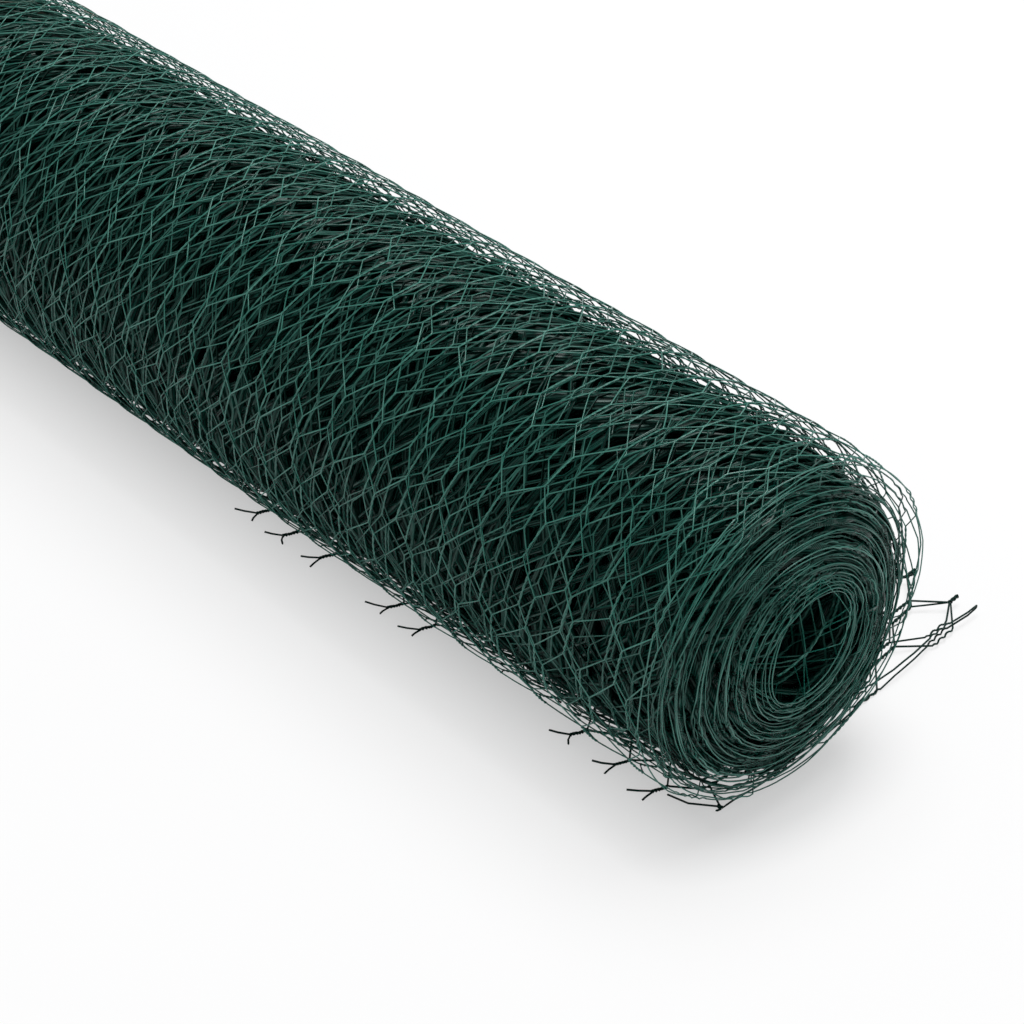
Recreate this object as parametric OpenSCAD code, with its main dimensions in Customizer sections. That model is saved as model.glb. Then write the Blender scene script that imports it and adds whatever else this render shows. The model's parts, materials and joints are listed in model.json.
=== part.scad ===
// Roll of hexagonal wire netting, lying on its side on its own loose end.
// The netting is one woven sheet, so the roll is one solid: the wound turns, turned about
// the roll's axis with the hollow down the middle, and the loose end of the last turn.
// Axis of the roll along X, near end at +X, floor at z = 0, origin on the floor below the axis.

/* [Roll] */
// Width of the netting, which is the length of the roll
netting_w = 900; // [300:10:1200]
// Diameter over the outermost turn
outer_d = 170; // [130:1:260]
// Diameter of the hollow down the middle
bore_d = 53; // [30:1:80]
// Turns that show on each end
turns = 36; // [8:1:40]
// How far the innermost turn stands out past the outermost one at the near end
core_stand = 15; // [0:1:40]
// Depth of the groove between two turns, on the ends
groove_depth = 2; // [0.4:0.1:3]

/* [Netting] */
// Thickness of the netting, measured over its twisted wires
netting_t = 1.8; // [1:0.1:4]
// Thickness of one coated wire
wire_d = 0.75; // [0.5:0.05:2]
// Width of one mesh, from one twist to the next
mesh_w = 26.5; // [13:0.5:50]
// Length of one twist of two wires, round the roll
mesh_twist = 17.5; // [8:0.5:30]
// Length, round the roll, of the wires that slant from one twist to the next
mesh_slant = 13.5; // [6:0.5:25]

/* [Loose end] */
// Reach of the fold in the loose end, from below the axis
fold_reach = 167; // [135:1:260]
// Radius inside the fold
fold_r = 1.2; // [0.6:0.1:4]
// How far the loose end has slipped along the roll where the two meet
slip_at_roll = 6; // [0:1:20]
// How far the loose end has slipped along the roll at its fold
slip_at_fold = 32; // [0:1:60]
// Reach of the cut wires on the other side, from below the axis
cut_reach = 46; // [35:1:60]
// Length of the last twist before the cut
cut_twist = 8; // [4:0.5:14]
// How far the two cut wires of a twist reach past it
cut_prong = 6; // [3:0.5:10]
// How far the roll's weight sinks it into the netting below it
settle = 0.6; // [0.3:0.1:0.9]

/* [Hidden] */
$fn = 128;
coated_green = "#17463a";

outer_r = outer_d / 2;
bore_r = bore_d / 2;
turn_pitch = (outer_r - bore_r) / turns;
// Share of each turn's width that its flat crest takes on the ends
crest_share = 0.5;
crest_inset = turn_pitch * (1 - crest_share) / 2;
axis_z = netting_t + outer_r - settle;

fold_outer_r = fold_r + netting_t;
fold_y = fold_reach - fold_outer_r;
// Where the two layers of the loose end part, from below the axis
layers_part_y = 2 * netting_t;

mesh_count = round(netting_w / mesh_w);
mesh_pitch = netting_w / mesh_count;
// Shares of a mesh's width that the two cut wires of a twist reach to its sides
long_prong_share = 0.37;
short_prong_share = 0.21;
long_prong = mesh_pitch * long_prong_share;
short_prong = mesh_pitch * short_prong_share;
cut_base_y = cut_twist + cut_prong - cut_reach;

// An open mesh, from its middle: half its width, and its reach at its middle and beside its twists
open_half_w = (mesh_pitch - netting_t) / 2;
slant_rise = mesh_slant / (mesh_pitch / 2);
slant_wire_h = wire_d / 2 * sqrt(1 + slant_rise * slant_rise);
open_reach = mesh_twist / 2 + mesh_slant - slant_wire_h;
open_side_reach = open_reach - open_half_w * slant_rise;
row_pitch = mesh_twist + mesh_slant;
// The rows of open meshes lie between the crease and where the roll lifts clear of the loose end
last_row_y = fold_y - netting_t - open_reach;
clear_y = sqrt(outer_r * outer_r - pow(axis_z - 2 * fold_outer_r, 2));
row_count = max(0, 1 + floor((last_row_y - open_reach - clear_y) / row_pitch));

// How far a turn stands out along the axis, from the innermost (0) to the outermost
function stand(turn) = core_stand * (1 - turn / (turns - 1));
function crest_inner_r(turn) = bore_r + turn * turn_pitch + (turn == 0 ? 0 : crest_inset);
function crest_outer_r(turn) = bore_r + (turn + 1) * turn_pitch - (turn == turns - 1 ? 0 : crest_inset);

// One end's outline from the bore outwards: a flat crest for each turn, a groove between turns.
// side is 1 at the near end, where the inner turns stand out, and -1 at the far end.
function end_outline(side) = [
    for (turn = [0 : turns - 1])
        let (crest = side * netting_w / 2 + stand(turn))
        let (groove_turn = side > 0 ? turn + 1 : turn)
        each concat(
            [[crest_inner_r(turn), crest], [crest_outer_r(turn), crest]],
            turn == turns - 1 ? [] :
                [[bore_r + (turn + 1) * turn_pitch,
                  side * (netting_w / 2 - groove_depth) + stand(groove_turn)]])
];

function reversed(points) = [for (i = [len(points) - 1 : -1 : 0]) points[i]];

// Outline of one cut twist and the two cut wires that leave it, the short one towards the near end
function cut_fork(x) = [
    [x + netting_t / 2, cut_base_y],
    [x + netting_t / 2, cut_base_y - cut_twist],
    [x + short_prong, wire_d - cut_reach],
    [x + short_prong, -cut_reach],
    [x, cut_base_y - cut_twist - wire_d],
    [x - long_prong, -cut_reach],
    [x - long_prong, wire_d - cut_reach],
    [x - netting_t / 2, cut_base_y - cut_twist],
    [x - netting_t / 2, cut_base_y]
];

// How far the loose end has slipped along the roll, at a distance from below the axis
function slip(y) = slip_at_roll + (slip_at_fold - slip_at_roll) * y / fold_reach;

// Outline of one open mesh of the loose end, which slips along with it
function open_mesh(x, y) = [
    for (corner = [
        [open_half_w, -open_side_reach], [open_half_w, open_side_reach], [0, open_reach],
        [-open_half_w, open_side_reach], [-open_half_w, -open_side_reach], [0, -open_reach]])
        [x + corner.x - slip(y + corner.y), y + corner.y]
];

// The wound turns with the hollow down the middle
module wound_turns() {
    translate([0, 0, axis_z])
        rotate([0, 90, 0])
            rotate_extrude()
                polygon(concat(end_outline(1), reversed(end_outline(-1))));
}

// The loose end seen along the roll: out from under the roll, round the fold and back to the cut
module loose_end_section() {
    translate([-cut_reach, 0])
        square([cut_reach + fold_y, netting_t]);
    polygon([
        [0, netting_t],
        [layers_part_y, netting_t],
        [fold_y, fold_outer_r + fold_r],
        [fold_y, 2 * fold_outer_r],
        [0, 2 * netting_t]
    ]);
    translate([fold_y, fold_outer_r])
        difference() {
            circle(r = fold_outer_r);
            circle(r = fold_r);
            translate([-2 * fold_outer_r, -fold_outer_r])
                square([2 * fold_outer_r, 2 * fold_outer_r]);
        }
}

// The loose end seen from above, with a fork of two cut wires at every twist along the cut
module loose_end_plan() {
    near_x = netting_w / 2;
    polygon(concat(
        [[-near_x - slip_at_fold, fold_reach],
         [near_x - slip_at_fold, fold_reach],
         [near_x - slip_at_roll, 0],
         [near_x - slip_at_roll, cut_base_y]],
        [for (mesh = [1 : mesh_count - 1])
            each cut_fork(near_x - slip_at_roll - mesh * mesh_pitch)],
        [[-near_x - slip_at_roll, cut_base_y],
         [-near_x - slip_at_roll, 0]]));
}

// The open meshes of the loose end seen from above. Every other row is half a mesh along.
module open_meshes() {
    for (row = [0 : 1 : row_count - 1]) {
        aside = row % 2 / 2;
        for (mesh = [1 : mesh_count - row % 2])
            polygon(open_mesh(netting_w / 2 - (mesh - 1 / 2 + aside) * mesh_pitch, last_row_y - row * row_pitch));
    }
}

module loose_end() {
    through = netting_w + 2 * slip_at_fold;
    intersection() {
        translate([-through / 2 - slip_at_fold, 0, 0])
            rotate([90, 0, 90])
                linear_extrude(height = through + slip_at_fold)
                    loose_end_section();
        linear_extrude(height = 2 * fold_outer_r)
            difference() {
                loose_end_plan();
                open_meshes();
            }
    }
}

module netting_roll() {
    color(coated_green) {
        wound_turns();
        loose_end();
    }
}

netting_roll();
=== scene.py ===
"""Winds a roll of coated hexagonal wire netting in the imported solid's place, and sets up its stage.

The roll lies along X with its near end at +X. The netting's middle line, seen along the roll, is a
spiral from the hollow outwards that leaves below the roll, is folded and comes back below it. Every
wire follows that line, and crosses it sideways from twist to twist.
"""

import json
import math
from typing import NamedTuple

import bpy
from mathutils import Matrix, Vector


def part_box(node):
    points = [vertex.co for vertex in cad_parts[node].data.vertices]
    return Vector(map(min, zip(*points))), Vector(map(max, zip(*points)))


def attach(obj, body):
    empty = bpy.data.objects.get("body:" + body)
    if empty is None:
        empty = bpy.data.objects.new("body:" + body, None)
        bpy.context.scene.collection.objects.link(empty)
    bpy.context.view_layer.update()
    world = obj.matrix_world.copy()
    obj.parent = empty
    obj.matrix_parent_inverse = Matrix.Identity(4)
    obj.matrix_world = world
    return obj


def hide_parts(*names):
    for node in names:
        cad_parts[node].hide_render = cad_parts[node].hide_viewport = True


bl_info = {
    "name": "Wire Netting Roll",
    "version": (1, 0, 0),
    "blender": (4, 5, 0),
    "location": "3D View > Sidebar > Netting",
    "description": "Winds a roll of coated hexagonal wire netting and sets up its stage",
    "category": "Object",
}

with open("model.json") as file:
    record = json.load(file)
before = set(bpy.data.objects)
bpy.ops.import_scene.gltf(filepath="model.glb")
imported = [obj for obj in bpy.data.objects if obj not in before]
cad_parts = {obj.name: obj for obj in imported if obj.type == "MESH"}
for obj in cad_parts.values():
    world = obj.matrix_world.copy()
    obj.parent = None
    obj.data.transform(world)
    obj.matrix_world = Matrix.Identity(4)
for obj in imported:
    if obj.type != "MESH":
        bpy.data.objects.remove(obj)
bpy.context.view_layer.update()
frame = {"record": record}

MM = 0.001
ROLL = "netting_roll"
BODY = "root"

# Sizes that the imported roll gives
ROLL_LOW, ROLL_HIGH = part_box(ROLL)
BORE = next(mount for mount in frame["record"]["mounts"] if mount["name"] == "bore")
BORE_R = BORE["dims"]["r_mm"] * MM
NETTING_W = BORE["dims"]["length_mm"] * MM
AXIS_Z = BORE["pos_m"][2]
OUTER_R = ROLL_HIGH.z - AXIS_Z
CORE_STAND = ROLL_HIGH.x - NETTING_W / 2
SLIP_AT_FOLD = -NETTING_W / 2 - ROLL_LOW.x
FOLD_REACH = ROLL_HIGH.y

# Cut twists that stick out below the roll, counted in meshes from the near edge
FORKS_SHOWN = (1, 2, 3, 7, 8, 10, 11, 12)


class NettingSizes(bpy.types.PropertyGroup):
    """The netting as it is woven."""

    wire_d: bpy.props.FloatProperty(
        name="Loose Wire", description="Thickness of a wire in the loose end, which is drawn bold",
        default=0.95 * MM, unit="LENGTH")
    wound_wire_d: bpy.props.FloatProperty(
        name="Wound Wire", description="Thickness of a wire in the wound turns, finer to keep them apart",
        default=0.61 * MM, unit="LENGTH")
    deep_wire_d: bpy.props.FloatProperty(
        name="Deep Wire", description="Thickness of the wires deep in the roll, which stand for bundles",
        default=5.6 * MM, unit="LENGTH")
    meshes: bpy.props.IntProperty(
        name="Meshes", description="Meshes across the width of the netting", default=34)
    twist: bpy.props.FloatProperty(
        name="Twist", description="Length of one twist of two wires", default=17.5 * MM, unit="LENGTH")
    slant: bpy.props.FloatProperty(
        name="Slant", description="Length, along the netting, of the wires between two twists",
        default=13.5 * MM, unit="LENGTH")
    cut_twist: bpy.props.FloatProperty(
        name="Cut Twist", description="Length of a twist at the cut", default=9 * MM, unit="LENGTH")
    cut_short: bpy.props.FloatProperty(
        name="Cut Short", description="How much shorter the near corner and the hidden twists are cut",
        default=9 * MM, unit="LENGTH")
    stray: bpy.props.FloatProperty(
        name="Stray", description="How far a twist strays from its place in the netting",
        default=2 * MM, unit="LENGTH")
    warp: bpy.props.FloatProperty(
        name="Warp", description="How far whole patches of meshes are pulled out of line",
        default=10 * MM, unit="LENGTH")
    drift: bpy.props.FloatProperty(
        name="Drift", description="How far the meshes drift sideways from one turn to the next",
        default=60 * MM, unit="LENGTH")
    sway: bpy.props.FloatProperty(
        name="Sway", description="How far the meshes lean to the near end above and behind the axis",
        default=20 * MM, unit="LENGTH")
    edge_hold: bpy.props.FloatProperty(
        name="Edge Hold", description="Width along each edge over which the drift and sway set in",
        default=80 * MM, unit="LENGTH")
    edge_pull: bpy.props.FloatProperty(
        name="Edge Pull", description="How far the twists along an edge draw it in",
        default=1.2 * MM, unit="LENGTH")
    tight_lift: bpy.props.FloatProperty(
        name="Tight Lift", description="How far a twist lifts from the middle line in the tight turns",
        default=0.4 * MM, unit="LENGTH")
    loose_lift: bpy.props.FloatProperty(
        name="Loose Lift", description="How far a twist lifts from the middle line in the slack turns",
        default=0.9 * MM, unit="LENGTH")
    end_depth: bpy.props.FloatProperty(
        name="End Depth", description="Depth at an end of the roll that is as dark as one turn down",
        default=0.45 * MM, unit="LENGTH")
    seed: bpy.props.IntProperty(name="Seed", description="Seed of all that strays", default=7)


class RollSizes(bpy.types.PropertyGroup):
    """The roll as it is wound. Angles are from below the axis towards the fold."""

    tight_turns: bpy.props.IntProperty(
        name="Tight Turns", description="Turns that lie close on each other", default=32)
    loose_turns: bpy.props.IntProperty(
        name="Loose Turns", description="Slack turns round the tight ones", default=4)
    tight_r: bpy.props.FloatProperty(
        name="Tight Radius", description="Radius of the tight turns", default=74 * MM, unit="LENGTH")
    bunch_pitch: bpy.props.FloatProperty(
        name="Bunch Pitch", description="From one slack turn to the next where they bunch outside a gap",
        default=3.4 * MM, unit="LENGTH")
    gap_side: bpy.props.FloatProperty(
        name="Gap Side", description="Where the gap below the slack turns is widest",
        default=math.radians(95), subtype="ANGLE")
    gap_span: bpy.props.FloatProperty(
        name="Gap Span", description="How far the gap reaches to each side",
        default=math.radians(28), subtype="ANGLE")
    bulge: bpy.props.FloatProperty(
        name="Bulge", description="How far the slack turns bulge out at the gap",
        default=3 * MM, unit="LENGTH")
    core_shift: bpy.props.FloatVectorProperty(
        name="Core Shift", description="How far the innermost turn lies off the axis",
        default=(0, 4 * MM, -2.5 * MM), subtype="TRANSLATION")
    tight_shift: bpy.props.FloatVectorProperty(
        name="Tight Shift", description="How far the last tight turn lies off the axis",
        default=(0, -4 * MM, 0), subtype="TRANSLATION")
    core_sink: bpy.props.FloatProperty(
        name="Core Sink", description="How far the innermost turn is sunk on one side of the near end",
        default=6 * MM, unit="LENGTH")
    sunk_turns: bpy.props.IntProperty(
        name="Sunk Turns", description="Turns that are sunk on one side", default=11)
    sink_side: bpy.props.FloatProperty(
        name="Sink Side", description="Side on which the inner turns are sunk",
        default=math.radians(60), subtype="ANGLE")
    settle: bpy.props.FloatProperty(
        name="Settle", description="How far the tight turns spread out away from the near end",
        default=9 * MM, unit="LENGTH")
    settle_length: bpy.props.FloatProperty(
        name="Settle Length", description="Distance from the near end over which they spread out",
        default=55 * MM, unit="LENGTH")
    netting_t: bpy.props.FloatProperty(
        name="Netting", description="Thickness of the netting over its twists",
        default=1.8 * MM, unit="LENGTH")
    flap_rise: bpy.props.FloatProperty(
        name="Flap Rise", description="How far the loose end arches up before its fold",
        default=2 * MM, unit="LENGTH")
    fold_r: bpy.props.FloatProperty(
        name="Fold Radius", description="Radius of the netting's middle line in its fold",
        default=1.2 * MM, unit="LENGTH")
    fold_lift: bpy.props.FloatProperty(
        name="Fold Lift", description="How far the fold stands off the floor",
        default=2.5 * MM, unit="LENGTH")
    slip_at_roll: bpy.props.FloatProperty(
        name="Slip", description="How far the loose end has slipped along the roll below it",
        default=6 * MM, unit="LENGTH")
    cut_start: bpy.props.FloatProperty(
        name="Cut Start", description="Where the cut twists begin, from below the axis",
        default=37.5 * MM, unit="LENGTH")


class WireCoatAndShade(bpy.types.PropertyGroup):
    """The wire's plastic coat, and the painted shade that darkens it by depth in the roll."""

    coat: bpy.props.FloatVectorProperty(
        name="Coat", description="Colour of the plastic coat", subtype="COLOR",
        default=(0.0118, 0.150, 0.112))
    faded: bpy.props.FloatVectorProperty(
        name="Faded Coat", description="Colour where the coat has faded or is dusty", subtype="COLOR",
        default=(0.052, 0.235, 0.184))
    worn: bpy.props.FloatVectorProperty(
        name="Worn Coat", description="Colour where the coat has worn brown", subtype="COLOR",
        default=(0.15, 0.105, 0.07))
    worn_from: bpy.props.FloatProperty(
        name="Worn From", description="Place along the roll beyond which the coat has worn in spots",
        default=-0.12, unit="LENGTH")
    roughness: bpy.props.FloatProperty(
        name="Roughness", description="Roughness of the coat", default=0.25, subtype="FACTOR", min=0, max=1)
    sheen: bpy.props.FloatProperty(
        name="Sheen", description="Strength of the coat's reflections",
        default=0.8, subtype="FACTOR", min=0, max=1)
    # Painted shade: how much light each turn keeps for the next, and how much is left deep in the roll
    light_kept: bpy.props.FloatProperty(
        name="Light Kept", description="Share of the direct light that each turn lets through to the next",
        default=0.5, subtype="FACTOR", min=0, max=1)
    deep_light: bpy.props.FloatProperty(
        name="Deep Light", description="Share of the light that is left to the turns deep in the roll",
        default=0.48, subtype="FACTOR", min=0, max=1)


class StageLook(bpy.types.PropertyGroup):
    """The floor and the light."""

    floor: bpy.props.FloatVectorProperty(
        name="Floor", description="Colour of the floor", subtype="COLOR", default=(0.9, 0.9, 0.91))
    key_power: bpy.props.FloatProperty(
        name="Key Light", description="Power of the large lamp above the roll", default=39, unit="POWER")
    fill: bpy.props.FloatProperty(
        name="Fill", description="Strength of the light from all around", default=0.47)
    sheen: bpy.props.FloatProperty(
        name="Reflected Fill", description="Strength of the surroundings in reflections", default=0.5)
    # Painted light: white glow mixed into the floor for the camera, away from the roll and below it
    floor_glow: bpy.props.FloatProperty(
        name="Wash", description="How far the exposure washes out the floor's shadow away from the roll",
        default=0.74, subtype="FACTOR", min=0, max=1)
    floor_glow_below: bpy.props.FloatProperty(
        name="Wash Below", description="How far the exposure washes out the floor's shadow below the roll",
        default=0.48, subtype="FACTOR", min=0, max=1)


class RollSettings(bpy.types.PropertyGroup):
    """All settings of the roll."""

    netting: bpy.props.PointerProperty(type=NettingSizes)
    roll: bpy.props.PointerProperty(type=RollSizes)
    coat_and_shade: bpy.props.PointerProperty(type=WireCoatAndShade)
    stage: bpy.props.PointerProperty(type=StageLook)


class Field:
    """A value inside a node tree, so that a tree can be written as arithmetic."""

    def __init__(self, builder, socket):
        self.builder = builder
        self.socket = socket

    def maths(self, operation, other=None):
        return self.builder.maths(operation, self, other)

    def __add__(self, other):
        return self.maths("ADD", other)

    def __radd__(self, other):
        return self.maths("ADD", other)

    def __sub__(self, other):
        return self.maths("SUBTRACT", other)

    def __rsub__(self, other):
        return self.builder.maths("SUBTRACT", other, self)

    def __mul__(self, other):
        return self.maths("MULTIPLY", other)

    def __rmul__(self, other):
        return self.maths("MULTIPLY", other)

    def __truediv__(self, other):
        return self.maths("DIVIDE", other)

    def __rtruediv__(self, other):
        return self.builder.maths("DIVIDE", other, self)

    def __mod__(self, other):
        return self.maths("FLOORED_MODULO", other)

    def floor(self):
        return self.maths("FLOOR")

    def at_least(self, limit):
        return self.maths("MAXIMUM", limit)

    def at_most(self, limit):
        return self.maths("MINIMUM", limit)

    def over(self, limit):
        """1 where this is over the limit, else 0."""
        return self.maths("GREATER_THAN", limit)

    def equals(self, whole_number):
        """1 where this is that whole number, else 0."""
        return 1 - (self - whole_number).maths("ABSOLUTE").over(0.5)

    def toward(self, other, share):
        return self + (other - self) * share


class TreeBuilder:
    """Adds nodes to a tree in columns, and feeds them numbers or fields."""

    NODES_A_COLUMN = 8
    COLUMN_W = 190
    ROW_H = 190

    def __init__(self, tree):
        self.tree = tree

    def node(self, kind, inputs=None, **settings):
        node = self.tree.nodes.new(kind)
        place = len(self.tree.nodes) - 1
        node.location = (
            self.COLUMN_W * (place // self.NODES_A_COLUMN), -self.ROW_H * (place % self.NODES_A_COLUMN))
        for name, value in settings.items():
            setattr(node, name, value)
        for name, value in (inputs or {}).items():
            self.feed(next(s for s in node.inputs if s.name == name and s.enabled), value)
        return node

    def feed(self, socket, value):
        if isinstance(value, Field):
            self.tree.links.new(value.socket, socket)
        else:
            socket.default_value = value

    def out(self, node, name=None):
        socket = next(s for s in node.outputs if s.enabled and name in (None, s.name))
        return Field(self, socket)

    def maths(self, operation, first, second=None):
        node = self.node("ShaderNodeMath", operation=operation)
        self.feed(node.inputs[0], first)
        if second is not None:
            self.feed(node.inputs[1], second)
        return self.out(node)

    def combine(self, x, y, z):
        return self.out(self.node("ShaderNodeCombineXYZ", {"X": x, "Y": y, "Z": z}))

    def parts(self, vector):
        node = self.node("ShaderNodeSeparateXYZ", {"Vector": vector})
        return [self.out(node, axis) for axis in "XYZ"]

    def vectors(self, operation, first, second=None):
        node = self.node("ShaderNodeVectorMath", operation=operation)
        self.feed(node.inputs[0], first)
        if second is not None:
            self.feed(node.inputs[1], second)
        return self.out(node)

    def scaled(self, vector, scale):
        node = self.node("ShaderNodeVectorMath", {"Scale": scale}, operation="SCALE")
        self.feed(node.inputs[0], vector)
        return self.out(node)

    def blend(self, share, first, second):
        node = self.node("ShaderNodeMix", data_type="RGBA")
        sockets = [s for s in node.inputs if s.enabled]
        for socket, value in zip(sockets, (share, first, second)):
            self.feed(socket, value)
        return self.out(node, "Result")

    def stray(self, identity, seed):
        """A random vector from -1 to 1 on each axis, the same for all points of one identity."""
        node = self.node(
            "FunctionNodeRandomValue",
            {"Min": (-1, -1, -1), "Max": (1, 1, 1), "ID": identity, "Seed": seed},
            data_type="FLOAT_VECTOR")
        return self.out(node)


class CutShares:
    """Shares that shape the cut wires."""

    # Of the way sideways that a slanting wire goes
    SIDEWAYS = 0.75
    LONG_PRONG_MORE = 0.25
    STRAY = 0.2
    CORNER_SIDEWAYS = 2.75
    # Of the length of a slant
    LENGTH = 0.2
    SHOWN_MORE = 0.35
    BEND = 0.4
    CORNER_MORE = 0.3
    CORNER_BEND = 1.4
    # What is left of a twist and of the way sideways where the twist stays below the roll
    HIDDEN_TWIST = 0.2
    HIDDEN_SIDEWAYS = 0.3


class WindingShares:
    """Shares and counts by which the wires stray and thicken in the roll, and take painted shade and light.
    """

    # Random identities from one row of twists to the next, and of the wires along the edges
    ROW_IDENTITIES = 97
    EDGE_IDENTITIES = 43
    EDGE_STIFFNESS = 0.6
    WARP_SCALE = 9
    WARP_LIFT = 2
    DRIFT_SCALE = 1
    # Cover that a turn gives below the last one and round the hollow, and how much of it leaves a wire
    # thin and then makes it thick
    COVER_BELOW_LAST = 0.75
    COVER_ROUND_HOLLOW = 0.6
    THIN_COVER = 2
    COVER_TO_THICK = 5
    # Turns by which the loose end counts as deep, and the light that it then lacks
    LOOSE_DEPTH = 2.5
    LOOSE_SHADE = 0.7
    # Light that the hollow's wires are given, down to so many turns, in full from so many end depths on
    HOLLOW_LIGHT = 1.3
    LIT_TURNS = 8
    LIT_DEPTHS = 20
    STRANDS = 12
    STRAND_SHADE = 0.9
    LOW_SETTLE = 4


TREE_INPUTS = [
    ("Winding Line", "NodeSocketObject"),
    ("Material", "NodeSocketMaterial"),
    ("First Row", "NodeSocketInt"),
    ("Cut Row", "NodeSocketInt"),
    ("Points", "NodeSocketInt"),
    ("First Wire", "NodeSocketInt"),
    ("Wires", "NodeSocketInt"),
    ("Twist Steps", "NodeSocketInt"),
    ("Slant Steps", "NodeSocketInt"),
    ("Twist Turns", "NodeSocketInt"),
    ("Sides", "NodeSocketInt"),
    ("Wire Thickness", "NodeSocketFloat"),
    ("Wound Wire Thickness", "NodeSocketFloat"),
    ("Deep Wire Thickness", "NodeSocketFloat"),
    ("Mesh Width", "NodeSocketFloat"),
    ("Meshes", "NodeSocketInt"),
    ("Twist Length", "NodeSocketFloat"),
    ("Slant Length", "NodeSocketFloat"),
    ("Cut Twist Length", "NodeSocketFloat"),
    ("Cut Short", "NodeSocketFloat"),
    ("Stray", "NodeSocketFloat"),
    ("Lift", "NodeSocketFloat"),
    ("Warp", "NodeSocketFloat"),
    ("Drift", "NodeSocketFloat"),
    ("Sway", "NodeSocketFloat"),
    ("Edge Hold", "NodeSocketFloat"),
    ("Edge Pull", "NodeSocketFloat"),
    ("Settle", "NodeSocketFloat"),
    ("Settle Length", "NodeSocketFloat"),
    ("Tight Radius", "NodeSocketFloat"),
    ("Wound Rows", "NodeSocketInt"),
    ("Rows In Last Turn", "NodeSocketInt"),
    ("Rows In First Turn", "NodeSocketInt"),
    ("End Depth", "NodeSocketFloat"),
    ("Light Kept", "NodeSocketFloat"),
    ("Deep Light", "NodeSocketFloat"),
    ("Seed", "NodeSocketInt"),
]


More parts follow.
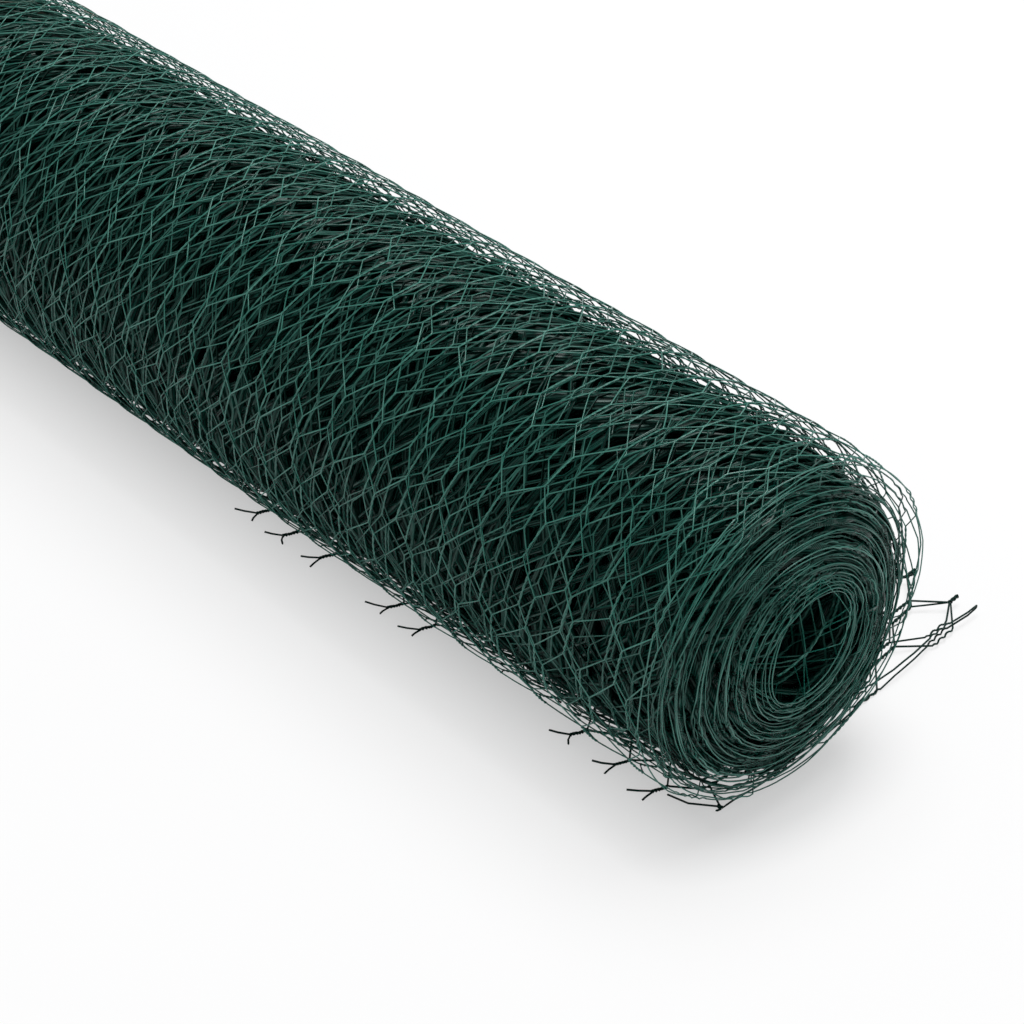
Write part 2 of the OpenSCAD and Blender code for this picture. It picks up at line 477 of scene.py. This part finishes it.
def netting_tree():
    """The node tree that winds a stretch of the netting: rows of twists, joined by slanting wires.

    Along a wire each row is a twist and then a slant to the next twist. In odd rows the wires pair up
    from the edge, which takes in the edge wires. In even rows each pairs with its other neighbour.
    """
    tree = bpy.data.node_groups.new("Wound Netting", "GeometryNodeTree")
    tree.interface.new_socket("Geometry", in_out="OUTPUT", socket_type="NodeSocketGeometry")
    for name, kind in TREE_INPUTS:
        tree.interface.new_socket(name, in_out="INPUT", socket_type=kind)
    b = TreeBuilder(tree)
    shares = WindingShares
    source = b.node("NodeGroupInput")
    given = {name: b.out(source, name) for name, _ in TREE_INPUTS}

    line = b.node("GeometryNodeCurvePrimitiveLine")
    sampled = b.node("GeometryNodeResampleCurve", {"Curve": b.out(line), "Count": given["Points"]})
    copies = b.node(
        "GeometryNodeDuplicateElements",
        {"Geometry": b.out(sampled), "Amount": given["Wires"]}, domain="SPLINE")
    copy_number = b.out(copies, "Duplicate Index")
    wire = given["First Wire"] + copy_number
    last_wire = given["Meshes"] * 2 + 1
    at_edge = 1 - (wire * (last_wire - wire)).over(0.5)

    index = b.out(b.node("GeometryNodeSplineParameter"), "Index")
    steps = given["Twist Steps"] + given["Slant Steps"]
    row = given["First Row"] + (index / steps).floor()
    step = index % steps
    twisted = (step / given["Twist Steps"]).at_most(1)
    slanted = ((step - given["Twist Steps"]) / given["Slant Steps"]).at_least(0)
    is_cut = row.over(given["Cut Row"] - 0.5)
    is_loose = row.over(given["Wound Rows"] - 0.5)
    half_wire = given["Wound Wire Thickness"].toward(given["Wire Thickness"], is_loose) / 2

    def twist_at(row):
        """Where this wire's twist lies in that row: its side of the pair, place across and stray."""
        odd = (row % 2).at_least(at_edge)
        pair = ((wire + 1 - odd) / 2).floor()
        side = 1 - 2 * ((wire + odd) % 2)
        across = (pair - (1 - odd) / 2 - given["Meshes"] / 2) * given["Mesh Width"]
        inwards = pair.equals(0) - pair.equals(given["Meshes"])
        across = across + row % 2 * inwards * given["Edge Pull"]
        identity = row * shares.ROW_IDENTITIES + pair + at_edge * shares.EDGE_IDENTITIES
        return side, across, b.parts(b.stray(identity, given["Seed"]))

    side, across, stray = twist_at(row)
    next_side, next_across, next_stray = twist_at(row + 1)

    # At the cut, in an odd row, the wires fork: a long prong away from the near end, a short one towards
    # it. Twists that stay below the roll and the near corner are cut shorter, but the wire next to the
    # edge is left long at that corner and reaches the first fork.
    shown = sum((given["Meshes"] - (wire / 2).floor()).equals(number) for number in FORKS_SHOWN)
    at_corner = (last_wire - 1 - wire).equals(0)
    cut = CutShares
    prong = cut.SIDEWAYS - cut.LONG_PRONG_MORE * side + cut.STRAY * stray[0]
    prong = prong * (cut.HIDDEN_SIDEWAYS + (1 - cut.HIDDEN_SIDEWAYS) * shown)
    prong = prong.toward(cut.CORNER_SIDEWAYS, at_corner)
    sideways = slanted.toward(slanted * prong, is_cut)
    cut_twist = given["Cut Twist Length"] * (cut.HIDDEN_TWIST + (1 - cut.HIDDEN_TWIST) * shown)
    twist_length = given["Twist Length"].toward(cut_twist, is_cut)
    prong_length = given["Slant Length"] * (
        cut.LENGTH + cut.SHOWN_MORE * shown + cut.BEND * (1 - slanted)
        + at_corner * (cut.CORNER_MORE + cut.CORNER_BEND * (1 - slanted)))
    slant_length = given["Slant Length"].toward(prong_length, is_cut)
    nearing_cut = (row + (twisted + slanted) / 2 - given["Cut Row"] + 1).at_least(0).at_most(1)
    cut_short = (1 - shown) * nearing_cut * given["Cut Short"]

    alone = at_edge * (1 - row % 2)
    angle = twisted * given["Twist Turns"] * (1 - alone) * math.tau
    beside = side * half_wire * angle.maths("COSINE")
    above = side * half_wire * angle.maths("SINE")

    freedom = 1 - shares.EDGE_STIFFNESS * at_edge
    along = (row * (given["Twist Length"] + given["Slant Length"])
             + twisted * twist_length + slanted * slant_length - cut_short
             + stray[0].toward(next_stray[0], slanted) * given["Stray"])
    across = ((across + beside).toward(next_across + next_side * half_wire, sideways)
              + stray[1].toward(next_stray[1], slanted) * given["Stray"] * freedom)
    above = (above * (1 - slanted)
             + stray[2].toward(next_stray[2], slanted) * given["Lift"])

    patch = b.node(
        "ShaderNodeTexNoise",
        {"Vector": b.combine(along, across, 0), "Scale": shares.WARP_SCALE, "Detail": 1})
    pull = b.parts(b.vectors("SUBTRACT", b.out(patch, "Color"), (0.5, 0.5, 0.5)))
    along = along + pull[0] * given["Warp"]
    across = across + pull[1] * given["Warp"] * freedom
    above = above + pull[2] * given["Lift"] * shares.WARP_LIFT
    half_width = given["Meshes"] * given["Mesh Width"] / 2
    in_from_edge = half_width - across.maths("ABSOLUTE")
    broad = b.node(
        "ShaderNodeTexNoise",
        {"Vector": b.combine(along, across / 2, 0), "Scale": shares.DRIFT_SCALE, "Detail": 0})
    free = (in_from_edge / given["Edge Hold"]).at_least(0).at_most(1)
    across = across + (b.out(broad, "Fac") - 0.5) * given["Drift"] * free

    # How deep a wire lies in the roll, in turns, from its last turn, its hollow or an end. Wires that lie
    # deep are thick, as they stand for more than one, and get painted shade that darkens them with depth.
    # As they keep out the light that real netting lets through to its hollow, the wires there get painted
    # light. Those of the loose end get painted shade.
    from_last = (given["Wound Rows"] - row - (twisted + slanted) / 2) / given["Rows In Last Turn"] - 1
    from_hollow = row / given["Rows In First Turn"]
    from_end = in_from_edge / given["End Depth"] + 1
    depth = from_last.at_most(from_hollow).at_most(from_end).at_least(shares.LOOSE_DEPTH * is_loose)
    cover = shares.COVER_BELOW_LAST * from_last
    cover = cover.at_most(shares.COVER_ROUND_HOLLOW * from_hollow).at_most(from_end)
    deep = ((cover - shares.THIN_COVER) / shares.COVER_TO_THICK).at_least(0).at_most(1)
    deep = deep * deep
    lit_hollow = shares.HOLLOW_LIGHT * (1 - from_hollow / shares.LIT_TURNS).at_least(0)
    lit_hollow = lit_hollow * (from_end / shares.LIT_DEPTHS).at_most(1)
    direct = b.maths("POWER", given["Light Kept"], depth)
    light = given["Deep Light"].toward(1, direct) + lit_hollow
    light = light * (1 - shares.LOOSE_SHADE * is_loose)
    swept_r = half_wire.toward(given["Deep Wire Thickness"] / 2, deep)

    winding = b.node(
        "GeometryNodeObjectInfo", {"Object": given["Winding Line"]}, transform_space="ORIGINAL")
    sample = b.node("GeometryNodeSampleCurve", mode="LENGTH")
    b.feed(sample.inputs["Curves"], b.out(winding, "Geometry"))
    b.feed(sample.inputs["Length"], along)
    outward = b.vectors("NORMALIZE", b.vectors("CROSS_PRODUCT", b.out(sample, "Tangent"), (1, 0, 0)))
    place = b.vectors("ADD", b.out(sample, "Position"), b.scaled(outward, above))
    x, y, z = b.parts(place)

    # Away from the near end the tight turns spread out until they fill the last one, more slowly low down
    # on the side of the cut
    height = z - AXIS_Z
    radius = (y * y + height * height).maths("SQRT")
    within = ((radius - BORE_R) / (given["Tight Radius"] - BORE_R)).at_least(0)
    without = ((OUTER_R - radius) / (OUTER_R - given["Tight Radius"])).at_least(0)
    low = ((y + height) / radius / -math.sqrt(2)).at_least(0)
    away = (half_width - across) / given["Settle Length"] / (1 + shares.LOW_SETTLE * low)
    away = away.at_least(0).at_most(1)
    spread = 1 + given["Settle"] * away * (within * within).at_most(without) / radius
    lean = given["Sway"] * free * (1 - is_loose) * (y + height) / radius / math.sqrt(2)
    place = b.combine(x + across + lean, y * spread, (AXIS_Z + height * spread).at_least(half_wire))

    laid = b.node("GeometryNodeSetPosition", {"Geometry": b.out(copies, "Geometry"), "Position": place})
    way = b.node("GeometryNodeCaptureAttribute", {"Geometry": b.out(laid)})
    for name, value in (("Along", index / (given["Points"] - 1)), ("Wire", copy_number),
                        ("Light", light), ("Radius", swept_r),
                        ("Strands", (shares.STRANDS * deep).floor())):
        way.capture_items.new("FLOAT", name)
        b.feed(way.inputs[name], value)
    # A tube of few sides is as wide, on the whole, as a round wire
    wedge = math.pi / given["Sides"]
    circle = b.node(
        "GeometryNodeCurvePrimitiveCircle",
        {"Resolution": given["Sides"], "Radius": wedge / wedge.maths("SINE")})
    round_way = b.node("GeometryNodeCaptureAttribute", {"Geometry": b.out(circle)})
    round_way.capture_items.new("FLOAT", "Round")
    b.feed(round_way.inputs["Round"], b.out(b.node("GeometryNodeSplineParameter"), "Index") / given["Sides"])
    tubes = b.node(
        "GeometryNodeCurveToMesh",
        {"Curve": b.out(way, "Geometry"), "Profile Curve": b.out(round_way, "Geometry"),
         "Scale": b.out(way, "Radius"), "Fill Caps": True})
    smooth = b.node("GeometryNodeSetShadeSmooth", {"Geometry": b.out(tubes)})
    measured = b.node(
        "GeometryNodeStoreNamedAttribute",
        {"Geometry": b.out(smooth), "Name": "light", "Value": b.out(way, "Light")})

    # A thick wire is striped round with painted shade between the strands that it stands for. A map
    # unrolls each wire to a strip. The last face round a wire ends at 1 and not at 0.
    turned = b.out(round_way, "Round")
    middle = b.out(b.node("GeometryNodeFieldOnDomain", {"Value": turned}, domain="FACE"))
    closed = turned + (middle - turned).over(0.75 / given["Sides"])
    striped = b.node(
        "GeometryNodeStoreNamedAttribute",
        {"Geometry": b.out(measured), "Name": "strand", "Value": closed * b.out(way, "Strands")},
        domain="CORNER")
    strip = (b.out(way, "Wire") + closed) / given["Wires"]
    mapped = b.node(
        "GeometryNodeStoreNamedAttribute", data_type="FLOAT2", domain="CORNER")
    b.feed(mapped.inputs["Geometry"], b.out(striped))
    mapped.inputs["Name"].default_value = "OFBake"
    b.feed(next(s for s in mapped.inputs if s.name == "Value" and s.enabled),
           b.combine(b.out(way, "Along"), strip, 0))

    whole = b.node("GeometryNodeRealizeInstances", {"Geometry": b.out(mapped)})
    coated = b.node("GeometryNodeSetMaterial", {"Geometry": b.out(whole), "Material": given["Material"]})
    b.node("NodeGroupOutput", {"Geometry": b.out(coated)})
    return tree


def smooth_step(value):
    value = min(max(value, 0), 1)
    return value * value * (3 - 2 * value)


class Winding:
    """The netting's middle line seen along the roll, with the lengths at which its turns begin."""

    POINTS_A_TURN = 96
    POINTS_A_FOLD = 12
    POINTS_A_FLAP = 24
    # The line goes on straight past the cut, for the cut wires to follow
    CUT_TAIL = 30 * MM
    CUT_TAIL_WAY = Vector((-0.3, -0.95, 0))
    CALM_TURNS = 14
    SLIP_TURNS = 0.5
    # The slack turns leave the tight ones after a share of a turn, and over another share
    SLACK_START = 0.3
    SLACK_LENGTH = 0.5
    SLACK_GROWTH = 1.2
    # Waves of a turn's radius, and of how far it stands out: height, phase by turn, phase by angle
    RADIUS_WAVES = ((0.5 * MM, 1.9, 0), (0.4 * MM, 0.7, 3))
    STAND_WAVES = ((0.9 * MM, 2.3, 0), (1.1 * MM, 1.1, 2))

    def __init__(self, settings):
        self.roll = settings.roll
        self.turns = self.roll.tight_turns + self.roll.loose_turns
        self.inner_r = BORE_R
        self.outer_r = OUTER_R - self.roll.netting_t / 2
        wound_points = range(self.turns * self.POINTS_A_TURN + 1)
        self.points = [self.wound(i / self.POINTS_A_TURN) for i in wound_points]
        self.points += self.loose_end()
        self.lengths = [0.0]
        for here, there in zip(self.points, self.points[1:]):
            self.lengths.append(self.lengths[-1] + (there - here).length)
        self.points.append(self.points[-1] + self.CUT_TAIL_WAY * self.CUT_TAIL)

    def uneven(self, waves, turn, angle):
        """How far a turn's waves carry it here: little round the hollow, not at all at the loose end."""
        whole = sum(
            height * math.sin(by_turn * turn + by_angle * angle) for height, by_turn, by_angle in waves)
        return whole * min(1, turn / self.CALM_TURNS, self.turns - turn)

    def turn_r(self, turn, angle):
        """Radius of the netting after so many turns. The slack turns bunch outside a gap on one side."""
        roll = self.roll
        tight_pitch = (roll.tight_r - self.inner_r) / roll.tight_turns
        radius = self.inner_r + turn * tight_pitch + self.uneven(self.RADIUS_WAVES, turn, angle)
        slack = turn - roll.tight_turns
        if slack <= 0:
            return radius
        slack_share = (slack / roll.loose_turns) ** self.SLACK_GROWTH
        spread_r = roll.tight_r + (self.outer_r - roll.tight_r) * slack_share
        bunch_r = self.outer_r + roll.bulge - roll.bunch_pitch * (roll.loose_turns - slack)
        off_side = (angle - roll.gap_side + math.pi) % math.tau - math.pi
        loose_r = spread_r + (bunch_r - spread_r) * math.exp(-(off_side / roll.gap_span) ** 2)
        return radius + (loose_r - radius) * smooth_step((slack - self.SLACK_START) / self.SLACK_LENGTH)

    def wound(self, turn):
        roll = self.roll
        angle = math.tau * (turn - self.turns)
        radius = self.turn_r(turn, angle)
        stand = CORE_STAND * (1 - turn / self.turns) + self.uneven(self.STAND_WAVES, turn, angle)
        on_sink_side = (1 + math.cos(angle - roll.sink_side)) / 2
        sunk = roll.core_sink * max(0, 1 - turn / roll.sunk_turns) * on_sink_side
        slip = roll.slip_at_roll * max(0, 1 - (self.turns - turn) / self.SLIP_TURNS)
        place = Vector((stand - sunk - slip, radius * math.sin(angle), AXIS_Z - radius * math.cos(angle)))
        return place + self.shift(turn)

    def shift(self, turn):
        """How far this turn lies off the axis."""
        core, tight = Vector(self.roll.core_shift), Vector(self.roll.tight_shift)
        if turn <= self.roll.tight_turns:
            return core.lerp(tight, turn / self.roll.tight_turns)
        return tight * (1 - smooth_step(turn - self.roll.tight_turns))

    def loose_end(self):
        """Out from below the roll, round the fold and back below the roll to where the cut begins."""
        roll = self.roll
        fold_y = FOLD_REACH - roll.fold_r - roll.netting_t / 2
        start = self.points[-1]
        floor_z = roll.netting_t / 2
        fold_low_z = floor_z + roll.fold_lift
        fold_top_z = fold_low_z + 2 * roll.fold_r
        points = []
        for i in range(1, self.POINTS_A_FLAP + 1):
            share = i / self.POINTS_A_FLAP
            slip = roll.slip_at_roll + (SLIP_AT_FOLD - roll.slip_at_roll) * share
            rise = roll.flap_rise * math.sin(math.pi * share)
            points.append(Vector((-slip, fold_y * share, start.z + (fold_top_z - start.z) * share + rise)))
        for i in range(1, self.POINTS_A_FOLD + 1):
            angle = math.pi * i / self.POINTS_A_FOLD
            points.append(Vector((
                -SLIP_AT_FOLD, fold_y + roll.fold_r * math.sin(angle),
                fold_low_z + roll.fold_r * (1 + math.cos(angle)))))
        for i in range(1, self.POINTS_A_FLAP + 1):
            y = fold_y - (fold_y + roll.cut_start) * i / self.POINTS_A_FLAP
            slip = roll.slip_at_roll + (SLIP_AT_FOLD - roll.slip_at_roll) * max(0, y / fold_y)
            points.append(Vector((-slip, y, floor_z + roll.fold_lift * max(0, y / fold_y) ** 2)))
        return points

    def length_at(self, turn):
        return self.lengths[round(turn * self.POINTS_A_TURN)]

    def curve(self):
        """The line as a curve object that the wires follow, removed once they are wound."""
        data = bpy.data.curves.new("winding_line", "CURVE")
        data.dimensions = "3D"
        spline = data.splines.new("POLY")
        spline.points.add(len(self.points) - 1)
        for point, place in zip(spline.points, self.points):
            point.co = (*place, 1)
        line = bpy.data.objects.new("winding_line", data)
        bpy.context.scene.collection.objects.link(line)
        return line


class Rows:
    """The rows of twists, counted along the winding line so that an odd one begins at the cut."""

    def __init__(self, settings):
        self.winding = Winding(settings)
        wanted = settings.netting.twist + settings.netting.slant
        whole = self.winding.lengths[-1]
        self.cut_row = round(whole / wanted / 2) * 2 + 1
        self.pitch = whole / self.cut_row

    def at(self, turn):
        return round(self.winding.length_at(turn) / self.pitch)


def material_named(name):
    material = bpy.data.materials.new(name)
    material.use_nodes = True
    material.node_tree.nodes.clear()
    return material, TreeBuilder(material.node_tree)


def green_coat(settings):
    """Dark green plastic coat: faded in patches, worn brown in spots far along the roll.

    Painted shade and light set its colour and sheen by depth in the roll, and darken it between strands.
    """
    found = bpy.data.materials.get("green_coat")
    if found:
        return found
    coat_and_shade = settings.coat_and_shade
    material, b = material_named("green_coat")
    place = b.out(b.node("ShaderNodeTexCoord"), "Object")
    # Painted shade and light: each wire's stored light, less between strands, scales colour and reflections
    strand = b.out(b.node("ShaderNodeAttribute", attribute_name="strand"), "Fac")
    between = (1 - (strand * math.tau).maths("COSINE")) / 2
    light = b.out(b.node("ShaderNodeAttribute", attribute_name="light"), "Fac")
    light = light * (1 - WindingShares.STRAND_SHADE * between)
    patches = b.node("ShaderNodeTexNoise", {"Vector": place, "Scale": 60, "Detail": 3})
    faded = b.node("ShaderNodeMapRange", {
        "Value": b.out(patches, "Fac"), "From Min": 0.42, "From Max": 0.75})
    colour = b.blend(b.out(faded), (*coat_and_shade.coat, 1), (*coat_and_shade.faded, 1))
    spots = b.node("ShaderNodeTexNoise", {"Vector": place, "Scale": 35, "Detail": 1})
    in_spot = b.node("ShaderNodeMapRange", {
        "Value": b.out(spots, "Fac"), "From Min": 0.62, "From Max": 0.7})
    beyond = 1 - b.parts(place)[0].over(coat_and_shade.worn_from)
    colour = b.blend(b.out(in_spot) * beyond, colour, (*coat_and_shade.worn, 1))
    smoothest, roughest = coat_and_shade.roughness - 0.08, coat_and_shade.roughness + 0.14
    gloss = b.node("ShaderNodeMapRange", {
        "Value": b.out(patches, "Fac"), "To Min": smoothest, "To Max": roughest})
    shaded = b.scaled(colour, light)
    surface = b.node("ShaderNodeBsdfPrincipled", {
        "Base Color": shaded, "Roughness": b.out(gloss), "Specular IOR Level": light * coat_and_shade.sheen})
    b.node("ShaderNodeOutputMaterial", {"Surface": b.out(surface)})
    return material


class Detail(NamedTuple):
    """How finely wires are made: steps along a twist and a slant, turns of a twist, sides of a wire."""

    twist_steps: int
    slant_steps: int
    twist_turns: int
    sides: int


CLOSE = Detail(16, 3, 3, 3)
NEAR = Detail(12, 3, 2, 3)
BELOW = Detail(6, 1, 2, 3)
EDGE = Detail(8, 2, 2, 3)
DEEP = Detail(1, 1, 0, 3)

# Turns that show round the hollow, turns that show outside, and wires along each edge of the tight turns
HOLLOW_TURNS = 5
OUTER_TURNS = 5
EDGE_WIRES = 4


def wind(context, name, rows, first_row, end_row, wires, detail, tight=False):
    """Winds a stretch of the netting, with a range of its wires, as a plain mesh that rides on the roll."""
    settings = context.scene.netting_roll
    netting = settings.netting
    line = rows.winding.curve()
    tree = bpy.data.node_groups.get("Wound Netting") or netting_tree()
    steps_a_row = detail.twist_steps + detail.slant_steps
    wound_rows = rows.at(rows.winding.turns)
    values = {
        "Winding Line": line,
        "Material": green_coat(settings),
        "First Row": first_row,
        "Cut Row": rows.cut_row,
        "Points": (end_row - first_row) * steps_a_row + (end_row <= rows.cut_row),
        "First Wire": wires.start,
        "Wires": len(wires),
        "Twist Steps": detail.twist_steps,
        "Slant Steps": detail.slant_steps,
        "Twist Turns": detail.twist_turns,
        "Sides": detail.sides,
        "Wire Thickness": netting.wire_d,
        "Wound Wire Thickness": netting.wound_wire_d,
        "Deep Wire Thickness": netting.deep_wire_d,
        "Mesh Width": NETTING_W / netting.meshes,
        "Meshes": netting.meshes,
        "Twist Length": netting.twist,
        "Slant Length": rows.pitch - netting.twist,
        "Cut Twist Length": netting.cut_twist,
        "Cut Short": netting.cut_short,
        "Stray": netting.stray,
        "Lift": netting.tight_lift if tight else netting.loose_lift,
        "Warp": netting.warp,
        "Drift": netting.drift,
        "Sway": netting.sway,
        "Edge Hold": netting.edge_hold,
        "Edge Pull": netting.edge_pull,
        "Settle": settings.roll.settle,
        "Settle Length": settings.roll.settle_length,
        "Tight Radius": settings.roll.tight_r,
        "Wound Rows": wound_rows,
        "Rows In Last Turn": wound_rows - rows.at(rows.winding.turns - 1),
        "Rows In First Turn": rows.at(1),
        "End Depth": netting.end_depth,
        "Light Kept": settings.coat_and_shade.light_kept,
        "Deep Light": settings.coat_and_shade.deep_light,
        "Seed": netting.seed,
    }
    maker = bpy.data.objects.new(name + "_maker", bpy.data.meshes.new(name + "_maker"))
    context.scene.collection.objects.link(maker)
    modifier = maker.modifiers.new("Wound Netting", "NODES")
    modifier.node_group = tree
    for item in tree.interface.items_tree:
        if item.in_out == "INPUT":
            modifier[item.identifier] = values[item.name]
    context.view_layer.update()
    mesh = bpy.data.meshes.new_from_object(maker.evaluated_get(context.evaluated_depsgraph_get()))
    mesh.name = name
    piece = bpy.data.objects.new(name, mesh)
    context.scene.collection.objects.link(piece)
    bpy.data.objects.remove(maker)
    bpy.data.objects.remove(line)
    if not mesh.polygons:
        raise RuntimeError(f"{name} has no faces")
    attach(piece, BODY)
    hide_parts(ROLL)


class NETTING_OT_tight_turns(bpy.types.Operator):
    """Wind the tight turns round the hollow, with their edges"""

    bl_idname = "netting.tight_turns"
    bl_label = "Tight Turns"

    def execute(self, context):
        netting = context.scene.netting_roll.netting
        rows = Rows(context.scene.netting_roll)
        hollow_row = rows.at(HOLLOW_TURNS)
        end_row = rows.at(rows.winding.turns - OUTER_TURNS)
        parting_row = end_row * 3 // 5
        wires = 2 * netting.meshes + 2
        far = range(EDGE_WIRES)
        middle = range(EDGE_WIRES, wires - EDGE_WIRES)
        near = range(wires - EDGE_WIRES, wires)
        wind(context, "netting_hollow", rows, 0, hollow_row, middle, BELOW, tight=True)
        wind(context, "netting_inner_turns", rows, hollow_row, parting_row, middle, DEEP, tight=True)
        wind(context, "netting_tight_turns", rows, parting_row, end_row, middle, DEEP, tight=True)
        wind(context, "netting_near_edge", rows, 0, end_row, near, EDGE, tight=True)
        wind(context, "netting_far_edge", rows, 0, end_row, far, EDGE, tight=True)
        return {"FINISHED"}


class NETTING_OT_slack_turns(bpy.types.Operator):
    """Wind the slack turns that show, and the tight turn below them"""

    bl_idname = "netting.slack_turns"
    bl_label = "Slack Turns"

    def execute(self, context):
        netting = context.scene.netting_roll.netting
        rows = Rows(context.scene.netting_roll)
        wires = range(2 * netting.meshes + 2)
        starts = [rows.at(rows.winding.turns - turns) for turns in (OUTER_TURNS, 2, 1, 0)]
        wind(context, "netting_middle_turns", rows, starts[0], starts[1], wires, BELOW)
        wind(context, "netting_second_turn", rows, starts[1], starts[2], wires, NEAR)
        wind(context, "netting_last_turn", rows, starts[2], starts[3], wires, CLOSE)
        return {"FINISHED"}


class NETTING_OT_loose_end(bpy.types.Operator):
    """Lay the loose end with its fold and its cut wires"""

    bl_idname = "netting.loose_end"
    bl_label = "Loose End"

    def execute(self, context):
        netting = context.scene.netting_roll.netting
        rows = Rows(context.scene.netting_roll)
        wires = range(2 * netting.meshes + 2)
        first_row = rows.at(rows.winding.turns)
        wind(context, "netting_loose_end", rows, first_row, rows.cut_row + 1, wires, CLOSE)
        return {"FINISHED"}


def area_lamp(name, place, target, size, power):
    data = bpy.data.lights.new(name, "AREA")
    data.shape = "DISK"
    data.size = size
    data.energy = power
    lamp = bpy.data.objects.new(name, data)
    lamp.location = place
    lamp.rotation_euler = (Vector(target) - Vector(place)).to_track_quat("-Z", "Y").to_euler()
    bpy.context.scene.collection.objects.link(lamp)


def photo_camera(context):
    """The photograph's view, worked out from the outline of the roll and of its near end."""
    place_shares = Vector((8.259, -8.984, 9.029))
    yaw, pitch = math.radians(139.13), math.radians(-34.34)
    focal_share = 2996 / 1024
    data = bpy.data.cameras.new("photo_camera")
    data.sensor_width = 36
    data.lens = focal_share * data.sensor_width
    camera = bpy.data.objects.new("photo_camera", data)
    camera.location = Vector((NETTING_W / 2, 0, AXIS_Z)) + place_shares * OUTER_R
    camera.rotation_euler = (math.pi / 2 + pitch, 0, yaw - math.pi / 2)
    context.scene.collection.objects.link(camera)
    context.scene.camera = camera


class NETTING_OT_stage(bpy.types.Operator):
    """Set up the floor, the light and the camera"""

    bl_idname = "netting.stage"
    bl_label = "Stage"

    def execute(self, context):
        look = context.scene.netting_roll.stage
        side = 6.0
        data = bpy.data.meshes.new("floor")
        corners = [(-side, -side, 0), (side, -side, 0), (side, side, 0), (-side, side, 0)]
        data.from_pydata(corners, [], [(0, 1, 2, 3)])
        floor = bpy.data.objects.new("floor", data)
        context.scene.collection.objects.link(floor)
        material, b = material_named("floor")
        path = b.node("ShaderNodeLightPath")
        x, y, _ = b.parts(b.out(b.node("ShaderNodeTexCoord"), "Object"))
        # Distance from below the axis, which counts double past the ends
        beyond = (x.maths("ABSOLUTE") - NETTING_W / 2).at_least(0)
        off_axis = (4 * beyond * beyond + y * y).maths("SQRT")
        # Painted light: the camera sees white glow in the floor, less below the roll than away from it
        below_r, away_r = 0.45 * OUTER_R, 1.03 * OUTER_R
        floor_glow = b.node("ShaderNodeMapRange", {
            "Value": off_axis, "From Min": below_r, "From Max": away_r,
            "To Min": look.floor_glow_below, "To Max": look.floor_glow})
        surface = b.node("ShaderNodeBsdfPrincipled", {"Base Color": (*look.floor, 1), "Roughness": 0.8})
        white = b.node("ShaderNodeEmission", {"Color": (1, 1, 1, 1), "Strength": 1})
        seen = b.node("ShaderNodeMixShader", {"Fac": b.out(path, "Is Camera Ray") * b.out(floor_glow)})
        b.feed(seen.inputs[1], b.out(surface))
        b.feed(seen.inputs[2], b.out(white))
        b.node("ShaderNodeOutputMaterial", {"Surface": b.out(seen)})
        data.materials.append(material)

        area_lamp("key_lamp", place=(0.1, 0.5, 2.2), target=(0, 0, 0), size=1.6, power=look.key_power)
        world = bpy.data.worlds.new("studio")
        world.use_nodes = True
        world.node_tree.nodes.clear()
        w = TreeBuilder(world.node_tree)
        path = w.node("ShaderNodeLightPath")
        strength = w.out(path, "Is Camera Ray") * (1 - look.fill) + look.fill
        strength = strength.toward(look.sheen, w.out(path, "Is Glossy Ray"))
        light = w.node("ShaderNodeBackground", {"Color": (1, 1, 1, 1), "Strength": strength})
        w.node("ShaderNodeOutputWorld", {"Surface": w.out(light)})
        context.scene.world = world
        context.scene.view_settings.view_transform = "Standard"
        photo_camera(context)
        return {"FINISHED"}


class NETTING_PT_panel(bpy.types.Panel):
    """The roll's settings and the steps that make it"""

    bl_idname = "NETTING_PT_panel"
    bl_label = "Wire Netting Roll"
    bl_space_type = "VIEW_3D"
    bl_region_type = "UI"
    bl_category = "Netting"

    def draw(self, context):
        settings = context.scene.netting_roll
        for group in (settings.netting, settings.roll, settings.coat_and_shade, settings.stage):
            box = self.layout.box()
            for name in group.__annotations__:
                box.prop(group, name)
        for operator in OPERATORS:
            self.layout.operator(operator.bl_idname)


OPERATORS = (
    NETTING_OT_stage, NETTING_OT_tight_turns, NETTING_OT_slack_turns, NETTING_OT_loose_end)
CLASSES = (
    NettingSizes, RollSizes, WireCoatAndShade, StageLook, RollSettings, *OPERATORS, NETTING_PT_panel)


def register():
    for cls in CLASSES:
        bpy.utils.register_class(cls)
    bpy.types.Scene.netting_roll = bpy.props.PointerProperty(type=RollSettings)


def unregister():
    del bpy.types.Scene.netting_roll
    for cls in reversed(CLASSES):
        bpy.utils.unregister_class(cls)


def main():
    register()
    bpy.ops.netting.stage()
    bpy.ops.netting.tight_turns()
    bpy.ops.netting.slack_turns()
    bpy.ops.netting.loose_end()


if __name__ == "__main__":
    main()
